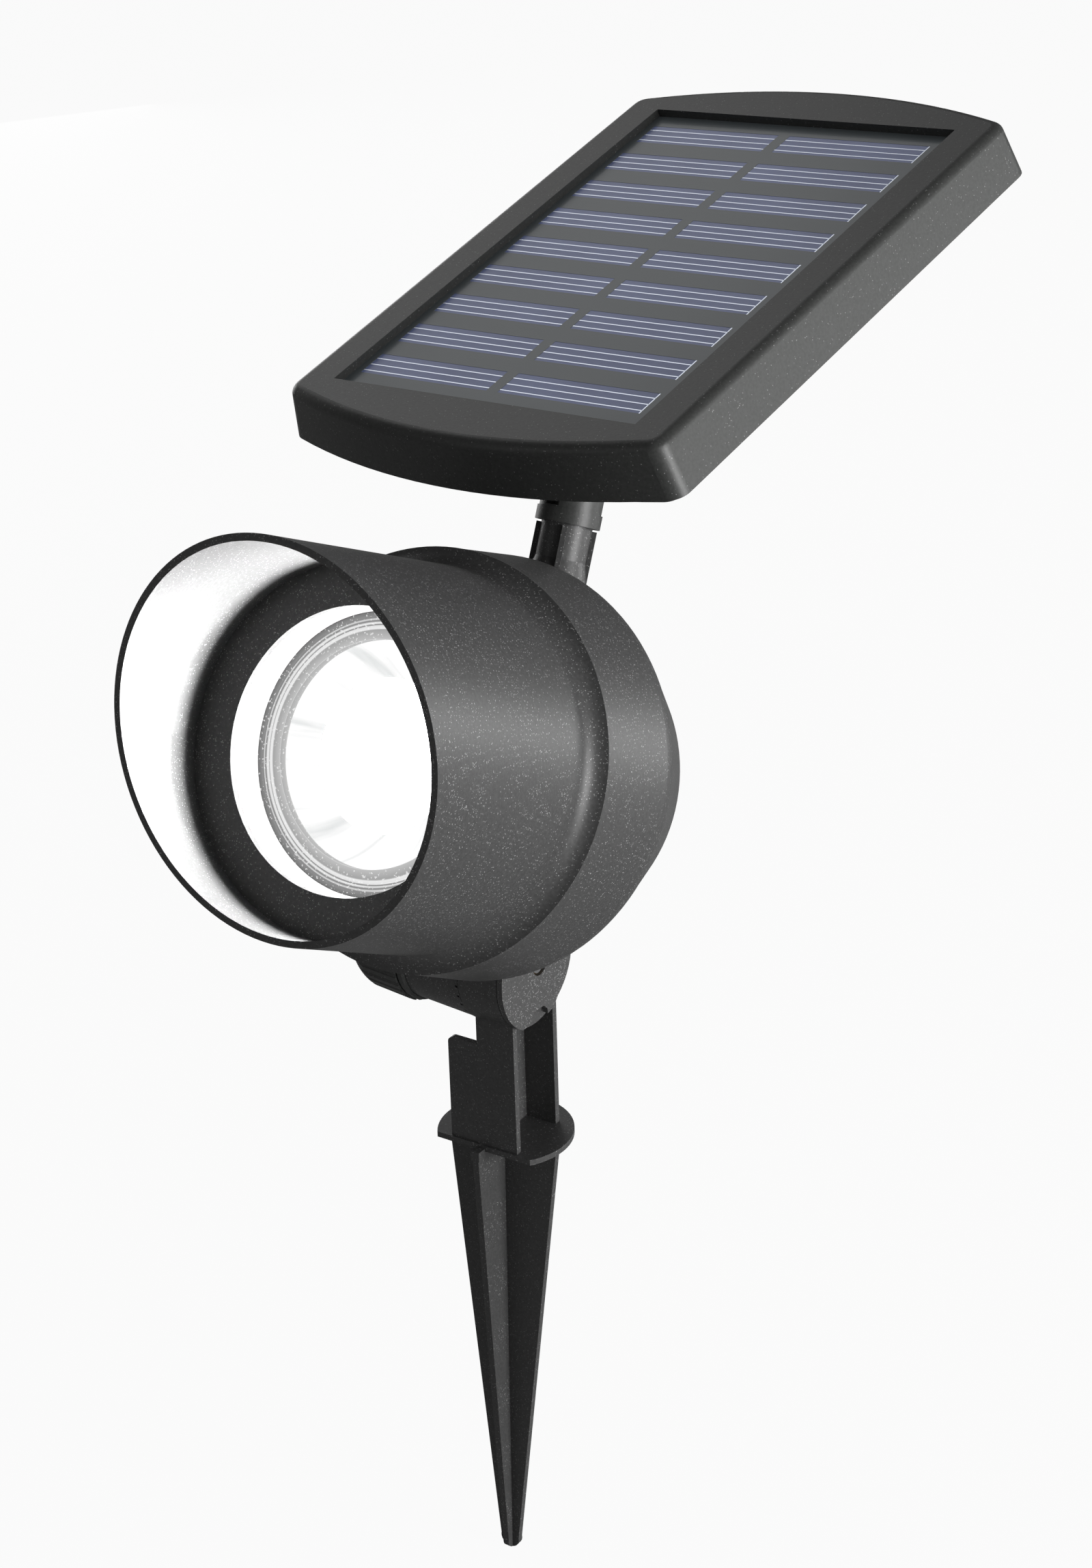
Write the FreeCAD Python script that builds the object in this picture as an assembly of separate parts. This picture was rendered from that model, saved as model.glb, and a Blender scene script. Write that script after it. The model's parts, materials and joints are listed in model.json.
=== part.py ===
import FreeCAD, Part
import math
import os
from FreeCAD import Placement, Rotation, Vector

# Solar garden spotlight on a ground stake. Millimetres, +Z up, the lamp faces -Y.
# The origin is the middle of the stake's flange, on its underside, where the soil ends.

os.makedirs("parts", exist_ok=True)

# ---- common values -------------------------------------------------------
RUN_GAP = 0.05            # radial running clearance of a shaft in its hole
PART_GAP = 0.3            # gap between curved faces of pieces that move past each other
SEAT_GAP = 0.15           # gap round a piece that sits in a pocket of its own body
X_AXIS = Vector(1, 0, 0)
Y_AXIS = Vector(0, 1, 0)
Z_AXIS = Vector(0, 0, 1)

# ---- stake ---------------------------------------------------------------
FLANGE_R = 18.2
FLANGE_T = 1.6
FLANGE_FLAT = 10.8        # distance of the front flat from the centre
STEM_W = 20.6             # stem width across X
STEM_D = 20.4             # stem depth over both plates
PLATE_T = 1.8             # front and rear plates of the H section
WEB_T = 2.2
SHOULDER_H = 29.7         # height above the flange where the stem is cut back on one side
SHOULDER_R = 1.6
KNUCKLE_R = 17.5
KNUCKLE_X0 = -1.2         # left face of the knuckle and of the narrow upper stem
KNUCKLE_X1 = 10.6
PIVOT_H = 52.0            # tilt pivot above the flange's top
BLADE_T = 1.8
BLADE_HALF_X = 17.2       # half width of the spike's blades at the flange
BLADE_HALF_Y = 13.6
SPIKE_L = 135.6
SPIKE_OFFSET = -0.8       # the spike stands this far to the side of the stem
SPIKE_LEAN = 1.0          # and leans by this angle, as moulded
ROOT_T = 2.6              # thickened root of the blade that the lean tips sideways
ROOT_H = 2.0
TIP_HALF = 2.9            # half width of the blades where the round tip starts
TIP_L = 3.6

# ---- lamp head, in its own level frame: origin at the lip, facing -Y -----
HEAD_TILT = 24.6          # nose up
PIVOT_BACK = 53.4         # pivot behind the lip plane
PIVOT_DROP = 47.4         # pivot below the lamp's axis
LIP_R = 52.0
LIP_T = 1.4
DRUM_L = 25.0
DRUM_R = 53.4
KNEE_MID = (28.3, 52.8)   # along and across the axis: rounded corner behind the drum
KNEE_END = (31.0, 51.6)
TAPER_END = (57.0, 39.8)
TAPER_ANGLE = 24.4
BACK_Y = 59.0
BACK_R = 36.8
HOUSING_WALL = 2.2
HOOD_BASE_R = LIP_R - 4.6
HOOD_BASE_Y = 7.6         # length of the flare between hood and lip
HOOD_RIM_R = HOOD_BASE_R - 1.6
HOOD_L = 64.0             # lip to rim, on the axis
RIM_SLANT = 18.3
HOOD_WALL = 1.8
LEDGE_Y = 32.5
LEDGE_T = 2.0
LENS_OPEN_R = 34.3
SPIGOT_L = 7.0
SEAL_T = 1.5
SEAL_W = 0.9
SEAL_Y = 3.0

# ---- optics --------------------------------------------------------------
SKIRT_WALL = 1.3
LENS_DEPTH = 9.0          # ledge's rear face to the lens's front
LENS_T = 3.0
LENS_RING_W = 1.1
LENS_DOME = 2.6           # height of the lens's domed front
MOUTH_R = 29.6
BOWL_L = 24.0
THROAT_R = 9.0
BOWL_WALL = 1.4
BOWL_NECK = 6.0            # outer radius of the bowl's rear over its throat
BOARD_R = 21.0
BOARD_T = 1.6
LED_SIZE = 3.5
LED_T = 1.2
LED_PITCH = 4.2
LED_DOME_R = 1.1
BOARD_SCREW_R = 1.2
BOARD_SCREW_L = 5.5
BOARD_SCREW_PCR = 17.0
SINK_R = 20.0
SINK_T = 3.0
SINK_FINS = 7
SINK_FIN_H = 8.0
SINK_FIN_T = 1.2

# ---- neck, swivel and tilt ----------------------------------------------
NECK_BACK = 43.1
NECK_R = 6.6
NECK_TOP = 64.0           # above the lamp's axis
NECK_FIN_OUT = 7.8
NECK_FIN_T = 1.3
NECK_FINS = 4
NECK_FIN_TURN = 28.0
NECK_FOOT_R = 11.5
NECK_FOOT_H = 50.0
NECK_INNER = 33.5
SPINDLE_R = 4.5
SPINDLE_BORE_R = 2.7
CLIP_R = 6.6
CLIP_T = 1.2
CLIP_GROOVE = 0.8
COLLAR_R = 8.4
COLLAR_H = 3.6
FORK_R = 8.0
FORK_SLOT = 4.4
FORK_EAR_R = 5.5          # round ends of the fork, about the tilt pin
FORK_CHEEK = 6.6          # flats of the fork, from its middle
TILT_H = 86.5             # tilt pin above the lamp's axis
TILT_PIN_R = 2.0
TILT_HEAD_R = 3.4
TILT_HEAD_T = 1.8
SWIVEL = -8.3             # panel swivel in the rest pose
PANEL_TILT = 42.5         # panel tilt in the rest pose

# ---- clamp of the tilt pivot --------------------------------------------
CHEEK_R = 17.5
CHEEK_T = 1.6
CHEEK_BOSS_R = 7.0
CHEEK_BOSS_L = 4.6
CHEEK_REAR_R = 15.0       # the cheek's lower rear edge is drawn in
CHEEK_FLAT = 15.2         # flat foot of the cheek below the pivot
NOTCH_FRONT = -5.2
NOTCH_ROOF = 12.3
NOTCH_REAR = 2.9
TOOTH_W = 3.1
TOOTH_TIP = 15.7
CHEEK_HOLE_R = 3.1
LUG_X0 = -19.2
LUG_R = 17.4
LUG_END_R = 16.3
LUG_GAP = 0.2
INDEX_R = 0.4
INDEX_COUNT = 34
INDEX_FIRST = 0.9         # angle of the first mark
INDEX_FLOOR = 0.9         # floor of each mark, as a share of its outer radius
SCREW_R = 2.5
INSERT_R = 4.6
WASHER_R = 17.1
WASHER_T = 2.3
KNOB_R = 17.7
KNOB_L = 18.5
KNOB_SIDE = 11.0          # length of the ribbed side
KNOB_SIDE_R = 16.8        # radius at the ribbed side's outer end
KNOB_END_R = 9.5
KNOB_RIBS = 36
KNOB_GROOVE_R = 0.8
KNOB_GROOVE_OUT = 0.25
POCKET_REACH = 8.0        # how far the knob's pocket runs past the knob
SCREW_HEAD_R = 5.0
SCREW_HEAD_T = 3.6

# ---- panel, in its own frame: origin at the middle of its top plane ------
WINDOW_W = 98.1
WINDOW_L = 141.6
PANEL_HALF_W = WINDOW_W / 2.0 + 14.25   # at the lower edge
PANEL_HALF_L = WINDOW_L / 2.0 + 17.3
PANEL_BOW = 10.4
PANEL_CORNER_R = 5.0
PANEL_DRAFT_W = 3.1       # each long side draws in by this much to the top
PANEL_DRAFT_L = 0.8       # and each short end by this much
RIM_H = 14.5
RIM_ROUND = 2.8
FRAME_WALL = 2.2
FRAME_TOP_T = 2.2
LAMINATE_LAP = 2.0
LAMINATE_T = 2.4
CELL_COLS = 2
CELL_ROWS = 9
CELL_L = 8.8
CELL_T = 0.25
CELL_LEFT = 2.35          # from the window's edge to the left column
CELL_RIGHT = 4.75
CELL_GAP = 3.6            # between the columns
CELL_TAB = 2.2            # extra width of the right cells, where the bus meets them
CELL_NEAR = 11.5          # from the window's near edge to the middle of the first row
CELL_FAR = 9.8
CELL_W = (WINDOW_W - CELL_LEFT - CELL_RIGHT - CELL_GAP - CELL_TAB) / CELL_COLS
BEAD_W = 3.0
BEAD_T = 1.2
TIER_HALF_W = WINDOW_W / 2.0 + 2.9
TIER_HALF_L = WINDOW_L / 2.0 + 4.1
TIER_BOW = 7.0
TIER_H = 9.5
TIER_ROUND = 1.6
BASE_WALL = 2.2
BASE_PLATE_T = 2.0
LUG_BACK = 40.2           # tilt pin, towards the near end from the panel's middle
LUG_DROP = 30.0           # tilt pin below the panel's top plane
LUG_T = 4.0
LUG_END = 6.4
LUG_ROOT = 17.0
BASE_SCREW_R = 1.1
BASE_SCREW_HEAD_R = 2.2
BASE_SCREW_HEAD_T = 1.6
BASE_SCREW_L = 9.0
BASE_BOSS_R = 2.4
BASE_SCREW_X = TIER_HALF_W + BASE_SCREW_HEAD_R + 0.4
BASE_SCREW_END = WINDOW_L / 2.0 - 4.8
DOOR_W = 52.0
DOOR_L = 66.0
DOOR_Y = 34.0
DOOR_T = 2.0
DOOR_LIP = 1.6
DOOR_SCREW_X = 22.0
DOOR_SCREW_L = 5.0        # length above the floor
AA_R = 7.1
AA_L = 49.5
AA_COUNT = 3
AA_NUB_R = 2.7
AA_NUB_L = 1.0
TRAY_WALL = 1.2
CONTACT_T = 0.5
CONTROL_W = 46.0
CONTROL_L = 26.0
CONTROL_Y = -12.0
CONTROL_T = 1.6
CONTROL_POST_R = 2.2
CHIP_W = 7.0
CHIP_H = 1.5
CHIP_X = -10.5
COIL_H = 3.0
COIL_X = 7.5
CAPACITOR_R = 2.6
CAPACITOR_H = 3.6
CAPACITOR_Y = 8.0
SWITCH_X = 33.0
SWITCH_Y = -26.0
SWITCH_BODY = 16.0
SWITCH_BODY_H = 5.4
SWITCH_RIB = 1.2
BUTTON_R = 5.0
BUTTON_OUT = 2.6
BUTTON_TRAVEL = 1.5


# ---- helpers -------------------------------------------------------------
def save(name, shape):
    """Writes one node; faces split by the cuts are joined where that keeps the solid sound."""
    if len(shape.Solids) == 1:
        shape = shape.Solids[0]
        joined = shape.removeSplitter()
        if joined.isValid() and len(joined.Solids) == 1:
            shape = joined.Solids[0]
    shape.exportStep("parts/" + name + ".step")


def moved(shape, placement):
    return shape.transformed(placement.Matrix)


def rod(radius, start, end):
    """Cylinder from one point to another."""
    axis = end - start
    return Part.makeCylinder(radius, axis.Length, start, axis)


def cone(radius_0, radius_1, start, end):
    axis = end - start
    return Part.makeCone(radius_0, radius_1, axis.Length, start, axis)


def tube(outer, inner, start, end):
    return rod(outer, start, end).cut(rod(inner, start, end))


def block(x0, x1, y0, y1, z0, z1):
    return Part.makeBox(x1 - x0, y1 - y0, z1 - z0, Vector(x0, y0, z0))


def turned(edges):
    """Solid of revolution about the Y axis from edges in the YZ plane."""
    face = Part.Face(Part.Wire(Part.__sortEdges__(edges)))
    solid = face.revolve(Vector(0, 0, 0), Y_AXIS, 360)
    if solid.Volume < 0:
        solid.reverse()
    return solid


def yr(y, radius):
    return Vector(0, y, radius)


def path(points):
    """Straight edges through the points, left open."""
    return [Part.makeLine(a, b) for a, b in zip(points, points[1:])]


def arc(start, middle, end):
    return Part.Arc(start, middle, end).toShape()


def prism(points, direction):
    return Part.Face(Part.makePolygon(points + points[:1])).extrude(direction)


def ring_of(count, radius, first=0.0):
    """Angle and place of each of the points spaced evenly on a circle in XZ."""
    for index in range(count):
        angle = math.radians(first + 360.0 * index / count)
        yield angle, radius * math.cos(angle), radius * math.sin(angle)


def bowed_wire(half_w, half_l, bow, corner, z):
    """Panel outline: straight long sides, bowed short ends, round corners."""
    bow_r = (half_w ** 2 + bow ** 2) / (2.0 * bow)
    bow_y = half_l - bow_r
    corner_x = half_w - corner
    corner_y = bow_y + math.sqrt((bow_r - corner) ** 2 - corner_x ** 2)
    lean = math.atan2(corner_x, corner_y - bow_y)
    touch = Vector(bow_r * math.sin(lean), bow_y + bow_r * math.cos(lean), z)
    half_turn = math.pi / 4.0 - lean / 2.0
    bulge = Vector(corner_x + corner * math.cos(half_turn), corner_y + corner * math.sin(half_turn), z)

    def mirrored(point, sx, sy):
        return Vector(point.x * sx, point.y * sy, z)

    side = Vector(half_w, corner_y, z)
    top = Vector(0, half_l, z)
    edges = [
        Part.makeLine(mirrored(side, 1, -1), side),
        arc(side, bulge, touch),
        arc(touch, top, mirrored(touch, -1, 1)),
        arc(mirrored(touch, -1, 1), mirrored(bulge, -1, 1), mirrored(side, -1, 1)),
        Part.makeLine(mirrored(side, -1, 1), mirrored(side, -1, -1)),
        arc(mirrored(side, -1, -1), mirrored(bulge, -1, -1), mirrored(touch, -1, -1)),
        arc(mirrored(touch, -1, -1), mirrored(top, 1, -1), mirrored(touch, 1, -1)),
        arc(mirrored(touch, 1, -1), mirrored(bulge, 1, -1), mirrored(side, 1, -1)),
    ]
    return Part.Wire(edges)


def bowed_solid(half_w, half_l, bow, corner, z0, z1):
    face = Part.Face(bowed_wire(half_w, half_l, bow, corner, z0))
    return face.extrude(Vector(0, 0, z1 - z0))


def edges_at(shape, z):
    """Edges that lie wholly at one height."""
    return [e for e in shape.Edges
            if abs(e.BoundBox.ZMin - z) < 1e-4 and abs(e.BoundBox.ZMax - z) < 1e-4]


# ---- frames of the moving groups at rest ---------------------------------
PIVOT = Vector(0, 0, FLANGE_T + PIVOT_H)
HEAD_PIVOT = Vector(0, PIVOT_BACK, -PIVOT_DROP)
HEAD_TURN = Rotation(X_AXIS, -HEAD_TILT)
HEAD = Placement(PIVOT - HEAD_TURN.multVec(HEAD_PIVOT), HEAD_TURN)
NECK_FRAME = HEAD.multiply(Placement(Vector(0, NECK_BACK, 0), Rotation(Z_AXIS, SWIVEL)))
TILT_FRAME = NECK_FRAME.multiply(Placement(Vector(0, 0, TILT_H), Rotation(X_AXIS, PANEL_TILT)))
PANEL = TILT_FRAME.multiply(Placement(Vector(0, LUG_BACK, LUG_DROP), Rotation()))


# ---- stake ---------------------------------------------------------------
def stem_plate(y0):
    """One plate of the H section, cut back above its left shoulder."""
    half = STEM_W / 2.0
    low = FLANGE_T / 2.0
    shoulder = FLANGE_T + SHOULDER_H
    top = PIVOT.z
    bend = SHOULDER_R * math.sqrt(0.5)
    corner = Vector(-half + SHOULDER_R, y0, shoulder - SHOULDER_R)
    edges = path([
        Vector(-half, y0, shoulder - SHOULDER_R),
        Vector(-half, y0, low),
        Vector(half, y0, low),
        Vector(half, y0, top),
        Vector(KNUCKLE_X0, y0, top),
        Vector(KNUCKLE_X0, y0, shoulder),
        Vector(-half + SHOULDER_R, y0, shoulder),
    ])
    edges.append(arc(Vector(-half + SHOULDER_R, y0, shoulder), corner + Vector(-bend, 0, bend),
                     Vector(-half, y0, shoulder - SHOULDER_R)))
    return Part.Face(Part.Wire(edges)).extrude(Vector(0, PLATE_T, 0))


def spike_blade(half_top, along):
    """Tapered blade with a round tip, standing in the plane of the along axis."""
    start = -SPIKE_L + TIP_L
    profile = [(half_top, FLANGE_T / 2.0), (TIP_HALF, start)]
    side = Vector(0, BLADE_T / 2.0, 0) if along.x else Vector(BLADE_T / 2.0, 0, 0)

    def at(distance, z):
        return along * distance + Vector(0, 0, z) - side

    right = [at(d, z) for d, z in profile]
    left = [at(-d, z) for d, z in reversed(profile)]
    edges = path(left[:1] + left[1:] + right[:1] + right[1:])
    edges.append(arc(right[-1], at(0, -SPIKE_L), left[0]))
    return Part.Face(Part.Wire(Part.__sortEdges__(edges))).extrude(side * 2.0)


def make_stake():
    flange = Part.makeCylinder(FLANGE_R, FLANGE_T)
    flange = flange.cut(block(-FLANGE_R, FLANGE_R, -FLANGE_R - 1, -FLANGE_FLAT, -1, FLANGE_T + 1))
    body = flange
    for y0 in (-STEM_D / 2.0, STEM_D / 2.0 - PLATE_T):
        body = body.fuse(stem_plate(y0))
    web_y = STEM_D / 2.0 - PLATE_T / 2.0
    body = body.fuse(block(-WEB_T / 2.0, WEB_T / 2.0, -web_y, web_y, FLANGE_T / 2.0, PIVOT.z))
    knuckle = rod(KNUCKLE_R, PIVOT + Vector(KNUCKLE_X0, 0, 0), PIVOT + Vector(KNUCKLE_X1, 0, 0))
    body = body.fuse(knuckle)
    for half_top, along in ((BLADE_HALF_X, X_AXIS), (BLADE_HALF_Y, Y_AXIS)):
        blade = spike_blade(half_top, along)
        blade.rotate(Vector(0, 0, 0), Y_AXIS, SPIKE_LEAN)
        blade.translate(Vector(SPIKE_OFFSET, 0, 0))
        body = body.fuse(blade)
    body = body.fuse(block(SPIKE_OFFSET - ROOT_T / 2.0, SPIKE_OFFSET + ROOT_T / 2.0,
                           -BLADE_HALF_Y, BLADE_HALF_Y, -ROOT_H, FLANGE_T / 2.0))
    body = body.cut(rod(SCREW_R + RUN_GAP, PIVOT + Vector(KNUCKLE_X0 - 1, 0, 0),
                        PIVOT + Vector(KNUCKLE_X1 + 1, 0, 0)))
    journal_depth = CHEEK_BOSS_L + PART_GAP
    body = body.cut(rod(CHEEK_BOSS_R + RUN_GAP, PIVOT + Vector(KNUCKLE_X1 - journal_depth, 0, 0),
                        PIVOT + Vector(KNUCKLE_X1 + 1, 0, 0)))
    return body


# ---- rear housing --------------------------------------------------------
def dome_profile(inset):
    """Drum and tapered back, drawn in by the wall for the inside."""
    along = inset * math.sin(math.radians(TAPER_ANGLE))
    across = inset * math.cos(math.radians(TAPER_ANGLE))
    start = inset and -1.0
    drum = yr(DRUM_L, DRUM_R - inset)
    knee_mid = yr(KNEE_MID[0] - along / 2.0, KNEE_MID[1] - across)
    knee = yr(KNEE_END[0] - along, KNEE_END[1] - across)
    taper = yr(TAPER_END[0] - along, TAPER_END[1] - across)
    edges = path([yr(start, 0), yr(start, LIP_R - inset), drum])
    edges.append(arc(drum, knee_mid, knee))
    edges += path([knee, taper, yr(BACK_Y - inset, BACK_R - inset), yr(BACK_Y - inset, 0), yr(start, 0)])
    return edges


def neck_fins():
    fins = []
    for index in range(NECK_FINS):
        fin = block(0, NECK_FIN_OUT, -NECK_FIN_T / 2.0, NECK_FIN_T / 2.0, NECK_FOOT_H, NECK_TOP - 0.6)
        fin.rotate(Vector(0, 0, 0), Z_AXIS, NECK_FIN_TURN - 90.0 + 360.0 * index / NECK_FINS)
        fin.translate(Vector(0, NECK_BACK, 0))
        fins.append(fin)
    return fins


def make_rear_housing():
    neck = Vector(0, NECK_BACK, 0)
    body = turned(dome_profile(0.0))
    body = body.fuse(rod(NECK_R, neck + Z_AXIS * NECK_INNER, neck + Z_AXIS * NECK_TOP))
    body = body.fuse(cone(NECK_FOOT_R, NECK_R, neck + Z_AXIS * NECK_INNER, neck + Z_AXIS * (NECK_FOOT_H + 5.0)))
    for fin in neck_fins():
        body = body.fuse(fin)
    pocket_knob = rod(KNOB_R + PART_GAP * 2, HEAD_PIVOT + Vector(LUG_X0 - WASHER_T - KNOB_L - POCKET_REACH, 0, 0),
                      HEAD_PIVOT + Vector(LUG_X0, 0, 0))
    pocket_knuckle = rod(KNUCKLE_R + PART_GAP, HEAD_PIVOT + Vector(KNUCKLE_X0 - LUG_GAP, 0, 0),
                         HEAD_PIVOT + Vector(KNUCKLE_X1 + LUG_GAP, 0, 0))
    hollow = turned(dome_profile(HOUSING_WALL))
    keep_out = rod(KNOB_R + PART_GAP * 2 + HOUSING_WALL, HEAD_PIVOT + Vector(-LIP_R, 0, 0),
                   HEAD_PIVOT + Vector(KNUCKLE_X1 + CHEEK_T + HOUSING_WALL, 0, 0))
    keep_out = keep_out.fuse(rod(NECK_FOOT_R, neck + Z_AXIS * NECK_INNER, neck + Z_AXIS * NECK_TOP))
    body = body.cut(hollow.cut(keep_out))
    lug = cone(LUG_END_R, LUG_R, HEAD_PIVOT + Vector(LUG_X0, 0, 0),
               HEAD_PIVOT + Vector(KNUCKLE_X0 - LUG_GAP, 0, 0))
    body = body.cut(pocket_knob)
    body = body.fuse(lug)
    body = body.fuse(rod(CHEEK_R, HEAD_PIVOT + Vector(KNUCKLE_X1 + LUG_GAP, 0, 0),
                         HEAD_PIVOT + Vector(KNUCKLE_X1 + LUG_GAP + CHEEK_T, 0, 0)))
    body = body.cut(pocket_knuckle)
    body = body.fuse(rod(CHEEK_BOSS_R, HEAD_PIVOT + Vector(KNUCKLE_X1 - CHEEK_BOSS_L, 0, 0),
                         HEAD_PIVOT + Vector(KNUCKLE_X1 + LUG_GAP + CHEEK_T, 0, 0)))
    body = body.cut(cheek_notch())
    for mark in index_marks():
        body = body.cut(mark)
    body = body.cut(rod(SCREW_R + RUN_GAP, HEAD_PIVOT + Vector(LUG_X0 - 1, 0, 0),
                        HEAD_PIVOT + Vector(KNUCKLE_X0, 0, 0)))
    body = body.cut(rod(INSERT_R, HEAD_PIVOT + Vector(KNUCKLE_X1 - CHEEK_BOSS_L - 1, 0, 0),
                        HEAD_PIVOT + Vector(KNUCKLE_X1 + LUG_GAP, 0, 0)))
    body = body.cut(rod(CHEEK_HOLE_R, HEAD_PIVOT, HEAD_PIVOT + Vector(LIP_R, 0, 0)))
    body = body.cut(rod(SPINDLE_R + RUN_GAP, neck + Z_AXIS * (NECK_INNER - 1), neck + Z_AXIS * (NECK_TOP + 1)))
    return body


def cheek_notch():
    """Relief round the cheek's lower rear edge, with a small detent tooth left in it."""
    x0 = KNUCKLE_X1
    x1 = KNUCKLE_X1 + LUG_GAP + CHEEK_T + 1.0
    low = -CHEEK_R - 2.0
    tooth = NOTCH_REAR + TOOTH_W
    points = [(-CHEEK_R, low), (-CHEEK_R, -CHEEK_FLAT), (NOTCH_FRONT, -CHEEK_FLAT),
              (NOTCH_FRONT + 0.4, -NOTCH_ROOF - 1.0), (NOTCH_FRONT + 2.2, -NOTCH_ROOF),
              (NOTCH_REAR - 1.6, -NOTCH_ROOF - 0.3), (NOTCH_REAR, -TOOTH_TIP + 1.6),
              (NOTCH_REAR + 0.3, -TOOTH_TIP), (tooth, -TOOTH_TIP + 0.7)]
    for step in range(8):
        angle = math.radians(-58.0 + 8.0 * step)
        points.append((CHEEK_REAR_R * math.cos(angle), CHEEK_REAR_R * math.sin(angle)))
    points += [(CHEEK_R + 2.0, 0.0), (CHEEK_R + 2.0, low)]
    outline = [Vector(x0, y, z) for y, z in points]
    notch = prism(outline, Vector(x1 - x0, 0, 0))
    notch.rotate(Vector(0, 0, 0), X_AXIS, HEAD_TILT)
    notch.translate(HEAD_PIVOT)
    return notch


def index_marks():
    """Small round notches round the lug's edge that show the tilt angle."""
    x = KNUCKLE_X0 - LUG_GAP - INDEX_R * 1.3
    for angle, across, up in ring_of(INDEX_COUNT, LUG_R + 1.0, INDEX_FIRST):
        outer = HEAD_PIVOT + Vector(x, across, up)
        inner = HEAD_PIVOT + Vector(x, across * INDEX_FLOOR, up * INDEX_FLOOR)
        if across < LUG_R * 0.35:
            yield rod(INDEX_R, inner, outer)


# ---- hood and optics -----------------------------------------------------
def hood_outer_edges():
    """Lip, concave flare and slightly tapered tube, from the lip plane forwards."""
    far = -(HOOD_L + HOOD_RIM_R)
    slope = (HOOD_BASE_R - HOOD_RIM_R) / (HOOD_L - HOOD_BASE_Y)
    far_r = HOOD_BASE_R - slope * (-far - HOOD_BASE_Y)
    lip = yr(-LIP_T, LIP_R)
    base = yr(-HOOD_BASE_Y, HOOD_BASE_R)
    middle = yr(-LIP_T - (HOOD_BASE_Y - LIP_T) * 0.36, LIP_R - (LIP_R - HOOD_BASE_R) * 0.72)
    return path([yr(0, LIP_R), lip]) + [arc(lip, middle, base)] + path([base, yr(far, far_r)]), far, far_r


def make_hood():
    edges, far, far_r = hood_outer_edges()
    wall_r = HOOD_BASE_R - HOOD_WALL
    edges += path([
        yr(far, far_r),
        yr(far, far_r - HOOD_WALL),
        yr(-LEDGE_Y, wall_r - 0.6),
        yr(-LEDGE_Y, LENS_OPEN_R),
        yr(-LEDGE_Y + LEDGE_T, LENS_OPEN_R),
        yr(-LEDGE_Y + LEDGE_T, LENS_OPEN_R + SKIRT_WALL + SEAT_GAP),
        yr(-LEDGE_Y + LEDGE_T + LENS_DEPTH, LENS_OPEN_R + SKIRT_WALL + SEAT_GAP),
        yr(-LEDGE_Y + LEDGE_T + LENS_DEPTH, LENS_OPEN_R + SKIRT_WALL + SEAT_GAP + HOOD_WALL),
        yr(-LEDGE_Y + LEDGE_T, LENS_OPEN_R + SKIRT_WALL + SEAT_GAP + HOOD_WALL),
        yr(-LEDGE_Y + LEDGE_T, wall_r),
        yr(SPIGOT_L, wall_r),
        yr(SPIGOT_L, LIP_R - HOUSING_WALL - SEAT_GAP),
        yr(SEAL_Y + SEAL_T, LIP_R - HOUSING_WALL - SEAT_GAP),
        yr(SEAL_Y + SEAL_T, LIP_R - HOUSING_WALL - SEAT_GAP - SEAL_W),
        yr(SEAL_Y, LIP_R - HOUSING_WALL - SEAT_GAP - SEAL_W),
        yr(SEAL_Y, LIP_R - HOUSING_WALL - SEAT_GAP),
        yr(0, LIP_R - HOUSING_WALL - SEAT_GAP),
        yr(0, LIP_R),
    ])
    hood = turned(edges)
    size = 4.0 * LIP_R
    front = Part.makeBox(size, size, size, Vector(-size / 2.0, -size, -size / 2.0))
    front.rotate(Vector(0, 0, 0), X_AXIS, RIM_SLANT)
    front.translate(Vector(0, -HOOD_L, 0))
    return hood.cut(front)


def make_lip_seal():
    inner = LIP_R - HOUSING_WALL - SEAT_GAP - SEAL_W
    return tube(inner + SEAL_W, inner, yr(SEAL_Y, 0), yr(SEAL_Y + SEAL_T, 0))


SKIRT_FRONT = -LEDGE_Y + LEDGE_T
LENS_FRONT = SKIRT_FRONT + LENS_DEPTH
LENS_REAR = LENS_FRONT + LENS_T
BOWL_REAR = LENS_REAR + BOWL_L
BOARD_FRONT = BOWL_REAR
SINK_FRONT = BOARD_FRONT + BOARD_T


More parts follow.
